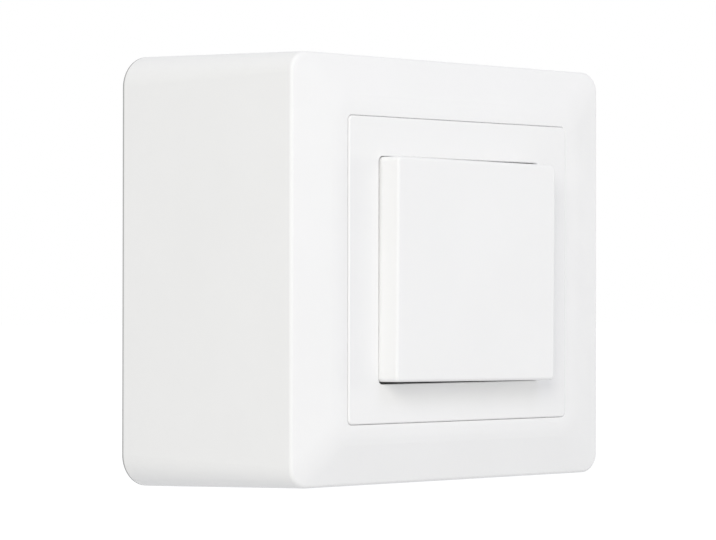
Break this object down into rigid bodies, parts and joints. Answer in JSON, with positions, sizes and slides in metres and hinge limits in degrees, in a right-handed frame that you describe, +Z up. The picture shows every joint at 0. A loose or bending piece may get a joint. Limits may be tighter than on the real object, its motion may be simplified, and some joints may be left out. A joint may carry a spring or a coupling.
{
  "type": "push button light switch",
  "caption": "Square surface mounted wall switch: deep one-piece frame with sloped bezel, centre plate, large proud push button, latching contact mechanism behind.",
  "frame": {"origin": "on the wall plane, midway between the two wall screw slots, at the middle of the switch", "axes": "+Z up, front and button face -Y, +Y into the wall, +X to the right seen from the front"},
  "size_m": [0.0886, 0.0591, 0.0884],
  "materials": {
    "frame_plastic": "satin white moulded plastic",
    "plate_plastic": "satin white moulded plastic",
    "button_plastic": "satin white moulded plastic",
    "base_plastic": "matt pale grey moulded plastic",
    "bracket_steel": "zinc plated pressed steel",
    "screw_steel": "zinc plated screw",
    "housing_plastic": "matt grey insulating plastic",
    "cover_plastic": "matt grey insulating plastic",
    "plunger_plastic": "natural low friction plastic",
    "driver_plastic": "dark low friction plastic",
    "rocker_plastic": "natural low friction plastic",
    "pin_steel": "ground steel pin",
    "spring_steel": "spring steel wire",
    "contact_copper": "rolled copper alloy strip",
    "terminal_brass": "stamped brass strip",
    "contact_silver": "silver alloy rivet",
    "terminal_steel": "zinc plated steel"
  },
  "bodies": {
    "switch_body": {"surface_frame": "frame_plastic", "centre_plate": "plate_plastic", "wall_base": "base_plastic", "mounting_bracket": "bracket_steel", "bracket_screws": "screw_steel", "mechanism_housing": "housing_plastic", "housing_cover": "cover_plastic", "rocker_shaft": "pin_steel", "common_terminal": "terminal_brass", "upper_terminal": "terminal_brass", "lower_terminal": "terminal_brass", "fixed_rivets": "contact_silver", "terminal_screws": "terminal_steel", "terminal_clamps": "terminal_steel", "return_spring_left": "spring_steel", "return_spring_right": "spring_steel"},
    "button": {"push_button": "button_plastic", "plunger": "plunger_plastic", "driver_pin": "pin_steel"},
    "driver": {"driver_arm": "driver_plastic"},
    "rocker": {"contact_rocker": "rocker_plastic", "moving_contact": "contact_copper", "moving_rivets": "contact_silver"}
  },
  "joints": [
    {"name": "button_press", "type": "slide", "parent": "switch_body", "child": "button", "axis": [0, 1, 0], "range_m": [0, 0.003], "stiffness_N_per_m": 800, "springref_m": -0.002, "deforming": ["return_spring_left", "return_spring_right"]},
    {"name": "driver_swing", "type": "hinge", "parent": "button", "child": "driver", "pos_m": [0, -0.0447, 0], "axis": [1, 0, 0], "range_deg": [0, 10]},
    {"name": "rocker_flip", "type": "hinge", "parent": "switch_body", "child": "rocker", "pos_m": [0, -0.02899, 0], "axis": [1, 0, 0], "range_deg": [-16, 0]}
  ],
  "couplings": [
    {"joint": "driver_swing", "follows": "button_press", "rad_per_m": 58.178},
    {"joint": "rocker_flip", "follows": "button_press", "rad_per_m": -93.084}
  ]
}
